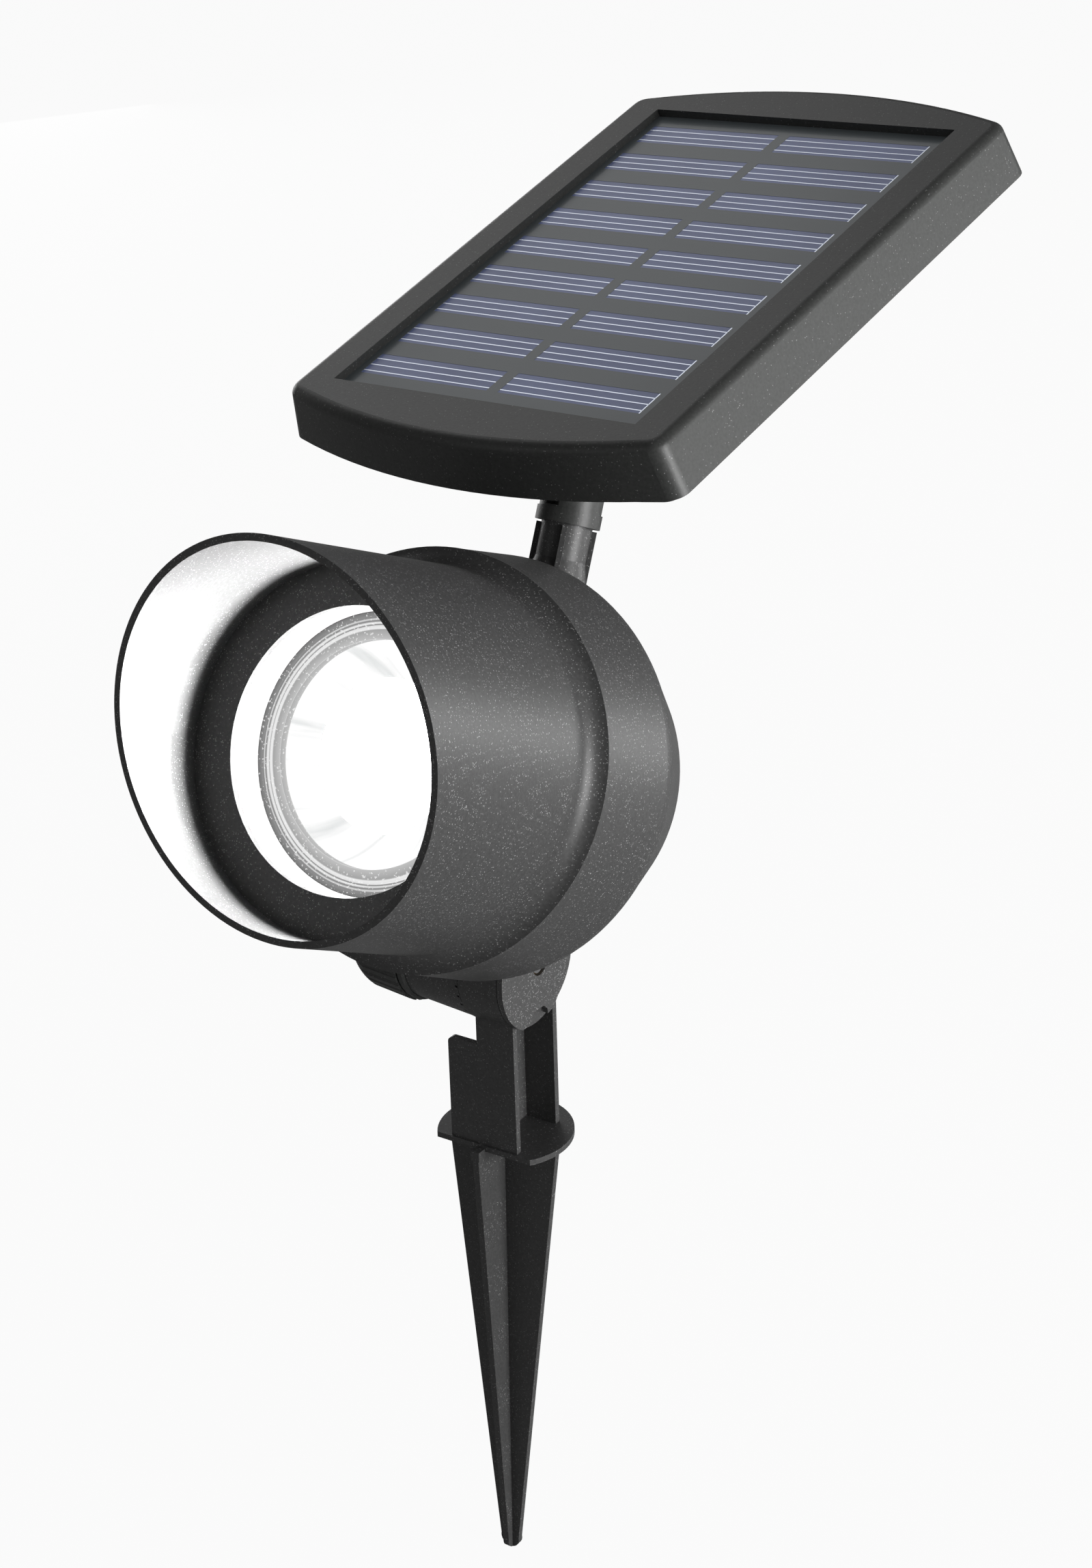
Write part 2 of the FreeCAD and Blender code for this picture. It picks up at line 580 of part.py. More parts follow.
def make_reflector():
    """Bright skirt in front of the lens, a seat for it and a round bowl behind."""
    skirt_r = LENS_OPEN_R + SKIRT_WALL
    edges = path([
        yr(BOWL_REAR, THROAT_R),
        yr(BOWL_REAR, BOARD_R),
        yr(BOWL_REAR - BOWL_WALL, BOARD_R),
        yr(BOWL_REAR - BOWL_WALL, THROAT_R + BOWL_NECK),
    ])
    edges.append(arc(yr(BOWL_REAR - BOWL_WALL, THROAT_R + BOWL_NECK),
                     yr(LENS_REAR + BOWL_L * 0.55, MOUTH_R - 5.0 + BOWL_WALL * 1.5),
                     yr(LENS_REAR + BOWL_WALL, MOUTH_R + BOWL_WALL)))
    edges += path([
        yr(LENS_REAR + BOWL_WALL, MOUTH_R + BOWL_WALL),
        yr(LENS_REAR + BOWL_WALL, skirt_r),
        yr(SKIRT_FRONT, skirt_r),
        yr(SKIRT_FRONT, LENS_OPEN_R),
        yr(LENS_REAR, LENS_OPEN_R),
        yr(LENS_REAR, MOUTH_R),
    ])
    edges.append(arc(yr(LENS_REAR, MOUTH_R), yr(LENS_REAR + BOWL_L * 0.55, MOUTH_R - 5.0),
                     yr(BOWL_REAR, THROAT_R)))
    body = turned(edges)
    for angle, x, z in ring_of(3, BOARD_SCREW_PCR, 90.0):
        boss = rod(BOARD_SCREW_R + 1.6, Vector(x, BOWL_REAR - BOARD_SCREW_L, z), Vector(x, BOWL_REAR, z))
        hole = rod(BOARD_SCREW_R, Vector(x, BOWL_REAR - BOARD_SCREW_L, z), Vector(x, BOWL_REAR + 1, z))
        body = body.fuse(boss.cut(bowl_inside())).cut(hole)
    return body


def bowl_inside():
    """The space inside the bowl, which the screw bosses stay out of."""
    edges = path([yr(BOWL_REAR + 1, 0), yr(LENS_REAR, 0), yr(LENS_REAR, MOUTH_R)])
    edges.append(arc(yr(LENS_REAR, MOUTH_R), yr(LENS_REAR + BOWL_L * 0.55, MOUTH_R - 5.0),
                     yr(BOWL_REAR, THROAT_R)))
    edges += path([yr(BOWL_REAR, THROAT_R), yr(BOWL_REAR + 1, THROAT_R), yr(BOWL_REAR + 1, 0)])
    return turned(edges)


def make_lens():
    """Clear disc with two raised rings and a domed middle."""
    rim = LENS_OPEN_R - SEAT_GAP
    steps = [yr(LENS_REAR, 0), yr(LENS_REAR, rim), yr(LENS_FRONT, rim)]
    radius = rim
    for _ in range(2):
        radius -= LENS_RING_W
        steps.append(yr(LENS_FRONT, radius))
        steps.append(yr(LENS_FRONT + 0.5, radius))
        radius -= LENS_RING_W * 0.6
        steps.append(yr(LENS_FRONT + 0.5, radius))
        steps.append(yr(LENS_FRONT, radius))
    dome_r = radius - LENS_RING_W
    steps.append(yr(LENS_FRONT, dome_r))
    edges = path(steps)
    ball_r = (dome_r ** 2 + LENS_DOME ** 2) / (2.0 * LENS_DOME)
    half_r = dome_r / 2.0
    half_y = LENS_FRONT - LENS_DOME + ball_r - math.sqrt(ball_r ** 2 - half_r ** 2)
    edges.append(arc(yr(LENS_FRONT, dome_r), yr(half_y, half_r), yr(LENS_FRONT - LENS_DOME, 0)))
    edges.append(Part.makeLine(yr(LENS_FRONT - LENS_DOME, 0), yr(LENS_REAR, 0)))
    return turned(edges)


def make_board():
    board = rod(BOARD_R, yr(BOARD_FRONT, 0), yr(BOARD_FRONT + BOARD_T, 0))
    for angle, x, z in ring_of(3, BOARD_SCREW_PCR, 90.0):
        board = board.cut(rod(BOARD_SCREW_R + 0.2, Vector(x, BOARD_FRONT - 1, z),
                              Vector(x, BOARD_FRONT + BOARD_T + 1, z)))
    return board


def make_leds():
    """Four light-emitting diodes, each a square package with a small dome."""
    half = LED_SIZE / 2.0
    leds = []
    for x in (-LED_PITCH, LED_PITCH):
        for z in (-LED_PITCH, LED_PITCH):
            x0 = x / 1.6
            z0 = z / 1.6
            body = block(x0 - half, x0 + half, BOARD_FRONT - LED_T, BOARD_FRONT, z0 - half, z0 + half)
            leds.append(body.fuse(Part.makeSphere(LED_DOME_R, Vector(x0, BOARD_FRONT - LED_T, z0))))
    return Part.makeCompound(leds)


def make_heat_sink():
    """Finned plate behind the board, held by the board's screws."""
    sink = rod(SINK_R, yr(SINK_FRONT, 0), yr(SINK_FRONT + SINK_T, 0))
    pitch = 2.0 * SINK_R / (SINK_FINS + 1)
    for index in range(SINK_FINS):
        x = -SINK_R + pitch * (index + 1)
        half = math.sqrt((SINK_R * 0.94) ** 2 - x ** 2)
        sink = sink.fuse(block(x - SINK_FIN_T / 2.0, x + SINK_FIN_T / 2.0, SINK_FRONT + SINK_T,
                               SINK_FRONT + SINK_T + SINK_FIN_H, -half, half))
    for angle, x, z in ring_of(3, BOARD_SCREW_PCR, 90.0):
        sink = sink.cut(rod(BOARD_SCREW_R + 0.2, Vector(x, SINK_FRONT - 1, z),
                            Vector(x, SINK_FRONT + SINK_T + 1, z)))
        sink = sink.cut(rod(BOARD_SCREW_R * 2.4, Vector(x, SINK_FRONT + SINK_T, z),
                            Vector(x, SINK_FRONT + SINK_T + SINK_FIN_H + 1, z)))
    return sink


def make_board_screws():
    screws = []
    seat = SINK_FRONT + SINK_T
    for angle, x, z in ring_of(3, BOARD_SCREW_PCR, 90.0):
        shank = rod(BOARD_SCREW_R, Vector(x, BOWL_REAR - BOARD_SCREW_L + 0.5, z), Vector(x, seat, z))
        screws.append(shank.fuse(rod(BOARD_SCREW_R * 2.0, Vector(x, seat, z), Vector(x, seat + 1.4, z))))
    return Part.makeCompound(screws)


# ---- clamp ---------------------------------------------------------------
def make_thread_insert():
    """Brass insert in the cheek's boss that the clamp screw threads into."""
    inner = SCREW_R + RUN_GAP
    return tube(INSERT_R, inner, HEAD_PIVOT + Vector(KNUCKLE_X1 - CHEEK_BOSS_L, 0, 0),
                HEAD_PIVOT + Vector(KNUCKLE_X1 + LUG_GAP, 0, 0))


def make_washer():
    x1 = LUG_X0
    x0 = LUG_X0 - WASHER_T
    ring = rod(WASHER_R, HEAD_PIVOT + Vector(x0, 0, 0), HEAD_PIVOT + Vector(x1, 0, 0))
    ring = ring.makeChamfer(0.5, [e for e in ring.Edges if e.Curve.TypeId == "Part::GeomCircle"])
    return ring.cut(rod(SCREW_R + RUN_GAP, HEAD_PIVOT + Vector(x0 - 1, 0, 0), HEAD_PIVOT + Vector(x1 + 1, 0, 0)))


def make_knob():
    """Round clamp knob: slightly tapered ribbed side, rounded outer end, screw seat."""
    x1 = LUG_X0 - WASHER_T
    x0 = x1 - KNOB_L
    shoulder = yr(KNOB_SIDE, KNOB_SIDE_R)
    bulge = yr(KNOB_L - (KNOB_L - KNOB_SIDE) * 0.38, KNOB_END_R + (KNOB_SIDE_R - KNOB_END_R) * 0.63)
    end = yr(KNOB_L, KNOB_END_R)
    edges = path([yr(0, 0), yr(0, KNOB_R), shoulder])
    edges.append(arc(shoulder, bulge, end))
    edges += path([end, yr(KNOB_L, 0), yr(0, 0)])
    knob = turned(edges)
    slope = (KNOB_R - KNOB_SIDE_R) / KNOB_SIDE
    for angle, x, z in ring_of(KNOB_RIBS, 1.0):
        near = KNOB_R + KNOB_GROOVE_OUT + slope
        far = KNOB_R + KNOB_GROOVE_OUT - slope * KNOB_L
        knob = knob.cut(rod(KNOB_GROOVE_R, Vector(x * near, -1, z * near), Vector(x * far, KNOB_L, z * far)))
    knob.rotate(Vector(0, 0, 0), Z_AXIS, 90)
    knob.translate(HEAD_PIVOT + Vector(x1, 0, 0))
    cup = rod(SCREW_HEAD_R + SEAT_GAP, HEAD_PIVOT + Vector(x0 - 1, 0, 0), HEAD_PIVOT + Vector(x0 + SCREW_HEAD_T, 0, 0))
    hole = rod(SCREW_R, HEAD_PIVOT + Vector(x0, 0, 0), HEAD_PIVOT + Vector(x1 + 1, 0, 0))
    return knob.cut(cup).cut(hole)


def make_clamp_screw():
    """Screw fixed in the knob; its end shows in the hole of the cheek."""
    x0 = LUG_X0 - WASHER_T - KNOB_L
    head_x = x0 + SCREW_HEAD_T
    head = rod(SCREW_HEAD_R, HEAD_PIVOT + Vector(x0 + 0.8, 0, 0), HEAD_PIVOT + Vector(head_x, 0, 0))
    end = KNUCKLE_X1 + LUG_GAP + CHEEK_T - 0.5
    return head.fuse(rod(SCREW_R, HEAD_PIVOT + Vector(head_x - 1, 0, 0), HEAD_PIVOT + Vector(end, 0, 0)))


# ---- swivel, in the neck's frame: origin on the lamp's axis --------------
def make_fork():
    """Collar and fork in one piece, on a hollow spindle that turns in the neck."""
    base = NECK_TOP
    collar_top = base + COLLAR_H
    body = rod(COLLAR_R, Z_AXIS * base, Z_AXIS * collar_top)
    pillar = rod(FORK_R, Z_AXIS * collar_top, Z_AXIS * (TILT_H + FORK_R))
    crown = rod(FORK_EAR_R, Vector(-FORK_R, 0, TILT_H), Vector(FORK_R, 0, TILT_H))
    crown = crown.fuse(fork_taper(collar_top))
    pillar = pillar.common(crown)
    for side in (-1, 1):
        edge = side * FORK_CHEEK
        far = side * (FORK_R + 1)
        pillar = pillar.cut(block(min(edge, far), max(edge, far), -FORK_R - 1, FORK_R + 1,
                                  TILT_H - FORK_R + 1.0, TILT_H + FORK_R + 1))
    body = body.fuse(pillar)
    body = body.fuse(rod(SPINDLE_R, Z_AXIS * (NECK_INNER - CLIP_T * 2.5), Z_AXIS * (base + 1)))
    half = FORK_SLOT / 2.0
    body = body.cut(block(-half, half, -FORK_R - 1, FORK_R + 1, collar_top + 0.4, TILT_H + FORK_R + 1))
    body = body.cut(rod(SPINDLE_BORE_R, Z_AXIS * (NECK_INNER - CLIP_T * 3), Z_AXIS * (collar_top + 1)))
    groove = tube(SPINDLE_R + 1, SPINDLE_R - CLIP_GROOVE, Z_AXIS * (NECK_INNER - CLIP_T), Z_AXIS * NECK_INNER)
    body = body.cut(groove)
    return body.cut(rod(TILT_PIN_R, Vector(-FORK_R - 1, 0, TILT_H), Vector(FORK_R + 1, 0, TILT_H)))


def fork_taper(low):
    """Side shape of the fork under the pin: full depth below, narrowing to the round ears."""
    waist = TILT_H - FORK_EAR_R * 0.7
    points = [(-FORK_R, low), (-FORK_R, waist), (-FORK_EAR_R, TILT_H), (FORK_EAR_R, TILT_H), (FORK_R, waist), (FORK_R, low)]
    return prism([Vector(-FORK_R, y, z) for y, z in points], Vector(2.0 * FORK_R, 0, 0))


def make_neck_clip():
    """Open ring clipped in the spindle's groove, under the neck's inner end."""
    clip = tube(CLIP_R, SPINDLE_R - CLIP_GROOVE, Z_AXIS * (NECK_INNER - CLIP_T), Z_AXIS * NECK_INNER)
    gap = SPINDLE_R * 0.6
    return clip.cut(block(-gap, gap, 0, CLIP_R + 1, NECK_INNER - CLIP_T - 1, NECK_INNER + 1))


def make_tilt_bolt():
    axis_z = Z_AXIS * TILT_H
    bolt = rod(TILT_PIN_R, axis_z + Vector(-FORK_CHEEK - 3.2, 0, 0), axis_z + Vector(FORK_CHEEK, 0, 0))
    return bolt.fuse(rod(TILT_HEAD_R, axis_z + Vector(FORK_CHEEK, 0, 0),
                         axis_z + Vector(FORK_CHEEK + TILT_HEAD_T, 0, 0)))


def make_tilt_nut():
    corner = TILT_HEAD_R * 1.15
    points = []
    for index in range(6):
        angle = math.radians(60 * index)
        points.append(Vector(-FORK_CHEEK, corner * math.cos(angle), TILT_H + corner * math.sin(angle)))
    nut = prism(points, Vector(-2.6, 0, 0))
    return nut.cut(rod(TILT_PIN_R, Vector(-FORK_CHEEK - 4, 0, TILT_H), Vector(-FORK_CHEEK + 1, 0, TILT_H)))


# ---- panel ---------------------------------------------------------------
LAMINATE_TOP = -FRAME_TOP_T
LAMINATE_LOW = LAMINATE_TOP - LAMINATE_T
TIER_LOW = -RIM_H - TIER_H
FLOOR_TOP = TIER_LOW + BASE_WALL
INNER_HALF_W = PANEL_HALF_W - PANEL_DRAFT_W - FRAME_WALL
INNER_HALF_L = PANEL_HALF_L - PANEL_DRAFT_L - FRAME_WALL
INNER_CORNER_R = PANEL_CORNER_R / 2.0


def make_panel_frame():
    """Moulded top shell with a window, a bowed outline and a rounded top edge."""
    low = bowed_wire(PANEL_HALF_W, PANEL_HALF_L, PANEL_BOW, PANEL_CORNER_R, -RIM_H)
    high = bowed_wire(PANEL_HALF_W - PANEL_DRAFT_W, PANEL_HALF_L - PANEL_DRAFT_L, PANEL_BOW,
                      PANEL_CORNER_R - PANEL_DRAFT_L / 2.0, 0)
    shell = Part.makeLoft([low, high], True, True)
    shell = shell.makeFillet(RIM_ROUND, edges_at(shell, 0))
    inside = bowed_solid(INNER_HALF_W, INNER_HALF_L, PANEL_BOW, INNER_CORNER_R, -RIM_H - 1, LAMINATE_LOW)
    shell = shell.cut(inside)
    lap = LAMINATE_LAP + SEAT_GAP
    shell = shell.cut(block(-WINDOW_W / 2.0 - lap, WINDOW_W / 2.0 + lap, -WINDOW_L / 2.0 - lap,
                            WINDOW_L / 2.0 + lap, -RIM_H, -FRAME_TOP_T))
    shell = shell.cut(block(-WINDOW_W / 2.0, WINDOW_W / 2.0, -WINDOW_L / 2.0, WINDOW_L / 2.0, -RIM_H, 1))
    plate_top = -RIM_H + BASE_PLATE_T
    for x, y in base_screw_places():
        boss = rod(BASE_BOSS_R, Vector(x, y, plate_top), Vector(x, y, LAMINATE_LOW + 0.5))
        shell = shell.fuse(boss)
        shell = shell.cut(rod(BASE_SCREW_R, Vector(x, y, plate_top - 1),
                              Vector(x, y, plate_top + BASE_SCREW_L - BASE_PLATE_T)))
    return shell


def base_screw_places():
    for x in (-BASE_SCREW_X, BASE_SCREW_X):
        for y in (-BASE_SCREW_END, 0.0, BASE_SCREW_END):
            yield x, y


def make_laminate():
    half_w = WINDOW_W / 2.0 + LAMINATE_LAP
    half_l = WINDOW_L / 2.0 + LAMINATE_LAP
    sheet = block(-half_w, half_w, -half_l, half_l, LAMINATE_LOW, LAMINATE_TOP)
    for x0, x1, y0 in cell_places():
        sheet = sheet.cut(block(x0, x1, y0, y0 + CELL_L, LAMINATE_TOP - CELL_T, LAMINATE_TOP + 1))
    return sheet


def cell_places():
    """Left edge, right edge and near edge of each cell; the right ones carry the bus tab."""
    step = (WINDOW_L - CELL_NEAR - CELL_FAR) / (CELL_ROWS - 1)
    for column in range(CELL_COLS):
        x0 = -WINDOW_W / 2.0 + CELL_LEFT + (CELL_W + CELL_GAP) * column
        for row in range(CELL_ROWS):
            y0 = -WINDOW_L / 2.0 + CELL_NEAR - CELL_L / 2.0 + step * row
            yield x0, x0 + CELL_W + CELL_TAB * column, y0


def make_cells():
    cells = []
    for x0, x1, y0 in cell_places():
        cells.append(block(x0, x1, y0, y0 + CELL_L, LAMINATE_TOP - CELL_T, LAMINATE_TOP - 0.05))
    return Part.makeCompound(cells)


def make_bead():
    """Bead of sealant under the laminate's edge, against the frame's inner step."""
    half_w = WINDOW_W / 2.0
    half_l = WINDOW_L / 2.0
    top = LAMINATE_LOW
    outer = block(-half_w, half_w, -half_l, half_l, top - BEAD_T, top)
    inner = block(-half_w + BEAD_W, half_w - BEAD_W, -half_l + BEAD_W, half_l - BEAD_W, top - BEAD_T - 1, top + 1)
    return outer.cut(inner)


def make_panel_base():
    """Lower shell: a plate closing the frame, the battery tier and the tilt lug."""
    plate = bowed_solid(INNER_HALF_W - SEAT_GAP, INNER_HALF_L - SEAT_GAP, PANEL_BOW, INNER_CORNER_R,
                        -RIM_H, -RIM_H + BASE_PLATE_T)
    tier = bowed_solid(TIER_HALF_W, TIER_HALF_L, TIER_BOW, PANEL_CORNER_R, TIER_LOW, -RIM_H + BASE_PLATE_T)
    tier = tier.makeFillet(TIER_ROUND, edges_at(tier, TIER_LOW))
    body = plate.fuse(tier)
    body = body.cut(bowed_solid(TIER_HALF_W - BASE_WALL, TIER_HALF_L - BASE_WALL, TIER_BOW,
                                PANEL_CORNER_R - BASE_WALL, FLOOR_TOP, -RIM_H + BASE_PLATE_T + 1))
    body = body.fuse(tilt_lug())
    for x, y in base_screw_places():
        body = body.cut(rod(BASE_SCREW_R + 0.2, Vector(x, y, -RIM_H - 1), Vector(x, y, -RIM_H + BASE_PLATE_T + 1)))
        body = body.cut(rod(BASE_SCREW_HEAD_R + 0.2, Vector(x, y, -RIM_H - 1),
                            Vector(x, y, -RIM_H + BASE_SCREW_HEAD_T * 0.5)))
    half_w = DOOR_W / 2.0
    half_l = DOOR_L / 2.0
    body = body.cut(block(-half_w, half_w, DOOR_Y - half_l, DOOR_Y + half_l, TIER_LOW - 1, TIER_LOW + DOOR_T))
    body = body.cut(block(-half_w + DOOR_LIP, half_w - DOOR_LIP, DOOR_Y - half_l + DOOR_LIP * 3,
                          DOOR_Y + half_l - DOOR_LIP * 3, TIER_LOW - 1, FLOOR_TOP + 1))
    for x, y in door_screw_places():
        body = body.cut(rod(BASE_SCREW_R, Vector(x, y, TIER_LOW), Vector(x, y, FLOOR_TOP + DOOR_SCREW_L + 1)))
    body = body.cut(rod(BUTTON_R + PART_GAP, Vector(SWITCH_X, SWITCH_Y, TIER_LOW - 1),
                        Vector(SWITCH_X, SWITCH_Y, FLOOR_TOP + 1)))
    for rib in switch_ribs():
        body = body.fuse(rib)
    for x, y in control_posts():
        body = body.fuse(rod(CONTROL_POST_R, Vector(x, y, FLOOR_TOP - 0.5), Vector(x, y, FLOOR_TOP + SWITCH_BODY_H)))
    return body


def tilt_lug():
    """Plate under the base with a round end at the tilt pin."""
    half = LUG_T / 2.0
    pin = Vector(-half, -LUG_BACK, -LUG_DROP)
    root = TIER_LOW + 0.5
    web = prism([
        Vector(-half, -LUG_BACK - LUG_ROOT / 2.0, root),
        Vector(-half, -LUG_BACK + LUG_ROOT / 2.0, root),
        Vector(-half, -LUG_BACK + LUG_END, -LUG_DROP),
        Vector(-half, -LUG_BACK - LUG_END, -LUG_DROP),
    ], Vector(LUG_T, 0, 0))
    lug = web.fuse(rod(LUG_END, pin, pin + Vector(LUG_T, 0, 0)))
    return lug.cut(rod(TILT_PIN_R + RUN_GAP, pin - Vector(1, 0, 0), pin + Vector(LUG_T + 1, 0, 0)))


def make_base_screws():
    screws = []
    seat = -RIM_H + BASE_SCREW_HEAD_T * 0.5
    for x, y in base_screw_places():
        head = rod(BASE_SCREW_HEAD_R, Vector(x, y, seat - BASE_SCREW_HEAD_T), Vector(x, y, seat))
        shank = rod(BASE_SCREW_R, Vector(x, y, seat), Vector(x, y, seat + BASE_SCREW_L - BASE_PLATE_T))
        screws.append(head.fuse(shank))
    return Part.makeCompound(screws)


def door_screw_places():
    for x in (-DOOR_SCREW_X, DOOR_SCREW_X):
        yield x, DOOR_Y - DOOR_L / 2.0 + DOOR_LIP * 1.6
        yield x, DOOR_Y + DOOR_L / 2.0 - DOOR_LIP * 1.6


def make_battery_door():
    half_w = DOOR_W / 2.0 - SEAT_GAP
    half_l = DOOR_L / 2.0 - SEAT_GAP
    door = block(-half_w, half_w, DOOR_Y - half_l, DOOR_Y + half_l, TIER_LOW, TIER_LOW + DOOR_T)
    for x, y in door_screw_places():
        door = door.cut(rod(BASE_SCREW_R + 0.2, Vector(x, y, TIER_LOW - 1), Vector(x, y, TIER_LOW + DOOR_T + 1)))
    return door


def make_door_screws():
    screws = []
    for x, y in door_screw_places():
        head = rod(DOOR_LIP * 1.4, Vector(x, y, TIER_LOW - 1.2), Vector(x, y, TIER_LOW))
        screws.append(head.fuse(rod(BASE_SCREW_R, Vector(x, y, TIER_LOW), Vector(x, y, FLOOR_TOP + DOOR_SCREW_L))))
    return Part.makeCompound(screws)


AA_STEP = 2.0 * AA_R + 0.8
AA_Z = FLOOR_TOP + TRAY_WALL + AA_R


def aa_places():
    for index in range(AA_COUNT):
        yield index, (index - (AA_COUNT - 1) / 2.0) * AA_STEP


def make_batteries():
    cells = []
    for index, x in aa_places():
        flip = -1 if index % 2 else 1
        start = Vector(x, DOOR_Y - flip * AA_L / 2.0, AA_Z)
        end = Vector(x, DOOR_Y + flip * AA_L / 2.0, AA_Z)
        nub = rod(AA_NUB_R, end, end + Vector(0, flip * AA_NUB_L, 0))
        cells.append(rod(AA_R, start, end).fuse(nub))
    return Part.makeCompound(cells)


def make_battery_tray():
    """Open tray with a round-bottomed bay for each battery."""
    half_w = AA_STEP * AA_COUNT / 2.0 + TRAY_WALL
    half_l = AA_L / 2.0 + AA_NUB_L + CONTACT_T + 0.4
    wall = TRAY_WALL
    tray = block(-half_w, half_w, DOOR_Y - half_l - wall, DOOR_Y + half_l + wall, FLOOR_TOP + 0.1, AA_Z)
    for index, x in aa_places():
        tray = tray.cut(rod(AA_R + 0.2, Vector(x, DOOR_Y - half_l, AA_Z), Vector(x, DOOR_Y + half_l, AA_Z)))
    return tray


def make_battery_contacts():
    """Spring plates at both ends of each battery."""
    plates = []
    half_l = AA_L / 2.0 + AA_NUB_L
    for index, x in aa_places():
        for side in (-1, 1):
            y = DOOR_Y + side * (half_l + CONTACT_T / 2.0 + 0.1)
            plates.append(block(x - 3.6, x + 3.6, y - CONTACT_T / 2.0, y + CONTACT_T / 2.0, AA_Z - 4.0, AA_Z - 0.1))
    return Part.makeCompound(plates)


def control_posts():
    for x in (-CONTROL_W / 2.0 + 3.0, CONTROL_W / 2.0 - 3.0):
        for y in (CONTROL_Y - CONTROL_L / 2.0 + 3.0, CONTROL_Y + CONTROL_L / 2.0 - 3.0):
            yield x, y


def make_control_board():
    """Charge board on its posts, with its chip, coil and capacitor."""
    low = FLOOR_TOP + SWITCH_BODY_H
    board = block(-CONTROL_W / 2.0, CONTROL_W / 2.0, CONTROL_Y - CONTROL_L / 2.0, CONTROL_Y + CONTROL_L / 2.0,
                  low, low + CONTROL_T)
    top = low + CONTROL_T
    half = CHIP_W / 2.0
    for x, height in ((CHIP_X, CHIP_H), (COIL_X, COIL_H)):
        board = board.fuse(block(x - half, x + half, CONTROL_Y - half, CONTROL_Y + half, top, top + height))
    middle = Vector(0, CONTROL_Y + CAPACITOR_Y, top)
    return board.fuse(rod(CAPACITOR_R, middle, middle + Z_AXIS * CAPACITOR_H))


SWITCH_LOW = FLOOR_TOP + BUTTON_TRAVEL + 1.4


def switch_ribs():
    """Two ribs on the floor that the switch stands on, beside the button."""
    half = SWITCH_BODY / 2.0
    for x in (SWITCH_X - half, SWITCH_X + half - SWITCH_RIB):
        yield block(x, x + SWITCH_RIB, SWITCH_Y - half, SWITCH_Y + half, FLOOR_TOP - 0.5, SWITCH_LOW)


def make_switch_body():
    half = SWITCH_BODY / 2.0
    low = SWITCH_LOW
    return block(SWITCH_X - half, SWITCH_X + half, SWITCH_Y - half, SWITCH_Y + half, low, low + SWITCH_BODY_H)


def make_button():
    """Round push button through the floor, with an inner flange that keeps it in."""
    centre = Vector(SWITCH_X, SWITCH_Y, 0)
    cap = rod(BUTTON_R, centre + Z_AXIS * (TIER_LOW - BUTTON_OUT), centre + Z_AXIS * (FLOOR_TOP + 0.5))
    cap = cap.makeFillet(0.8, [e for e in cap.Edges if abs(e.BoundBox.ZMax - (TIER_LOW - BUTTON_OUT)) < 1e-4])
    return cap.fuse(rod(BUTTON_R + 1.4, centre + Z_AXIS * FLOOR_TOP, centre + Z_AXIS * (FLOOR_TOP + 1.2)))


# ---- write every node ----------------------------------------------------
ROOT = Placement()
NODES = [
    ("ground_stake", make_stake, ROOT),
    ("rear_housing", make_rear_housing, HEAD),
    ("hood", make_hood, HEAD),
    ("lip_seal", make_lip_seal, HEAD),
    ("reflector", make_reflector, HEAD),
    ("lens", make_lens, HEAD),
    ("led_board", make_board, HEAD),
    ("leds", make_leds, HEAD),
    ("heat_sink", make_heat_sink, HEAD),
    ("board_screws", make_board_screws, HEAD),
    ("thread_insert", make_thread_insert, HEAD),
    ("thrust_washer", make_washer, HEAD),
    ("clamp_knob", make_knob, HEAD),
    ("clamp_screw", make_clamp_screw, HEAD),
    ("swivel_fork", make_fork, NECK_FRAME),
    ("neck_clip", make_neck_clip, NECK_FRAME),
    ("tilt_bolt", make_tilt_bolt, NECK_FRAME),
    ("tilt_nut", make_tilt_nut, NECK_FRAME),
    ("panel_frame", make_panel_frame, PANEL),
    ("panel_base", make_panel_base, PANEL),
    ("solar_laminate", make_laminate, PANEL),
    ("solar_cells", make_cells, PANEL),
    ("sealant_bead", make_bead, PANEL),
    ("base_screws", make_base_screws, PANEL),
    ("battery_door", make_battery_door, PANEL),
    ("door_screws", make_door_screws, PANEL),
    ("batteries", make_batteries, PANEL),
    ("battery_tray", make_battery_tray, PANEL),
    ("battery_contacts", make_battery_contacts, PANEL),
    ("control_board", make_control_board, PANEL),
    ("switch_body", make_switch_body, PANEL),
    ("switch_button", make_button, PANEL),
]

for node, maker, frame in NODES:
    save(node, moved(maker(), frame))
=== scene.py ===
import json
import math
import bmesh
import bpy
from mathutils import Euler, Matrix, Vector


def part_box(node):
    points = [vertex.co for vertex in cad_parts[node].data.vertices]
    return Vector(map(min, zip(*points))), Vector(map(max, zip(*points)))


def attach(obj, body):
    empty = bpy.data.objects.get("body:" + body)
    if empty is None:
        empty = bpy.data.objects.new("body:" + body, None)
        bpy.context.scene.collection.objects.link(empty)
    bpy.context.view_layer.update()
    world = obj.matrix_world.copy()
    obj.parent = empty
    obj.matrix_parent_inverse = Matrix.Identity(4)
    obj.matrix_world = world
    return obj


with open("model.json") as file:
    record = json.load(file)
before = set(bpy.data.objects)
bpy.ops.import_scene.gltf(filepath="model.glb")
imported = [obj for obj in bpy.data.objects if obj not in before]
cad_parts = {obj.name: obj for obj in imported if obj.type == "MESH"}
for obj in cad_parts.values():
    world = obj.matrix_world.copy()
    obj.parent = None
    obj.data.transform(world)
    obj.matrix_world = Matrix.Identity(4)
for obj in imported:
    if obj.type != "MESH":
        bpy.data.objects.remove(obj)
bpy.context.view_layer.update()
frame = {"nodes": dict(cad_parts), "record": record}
MM = 0.001

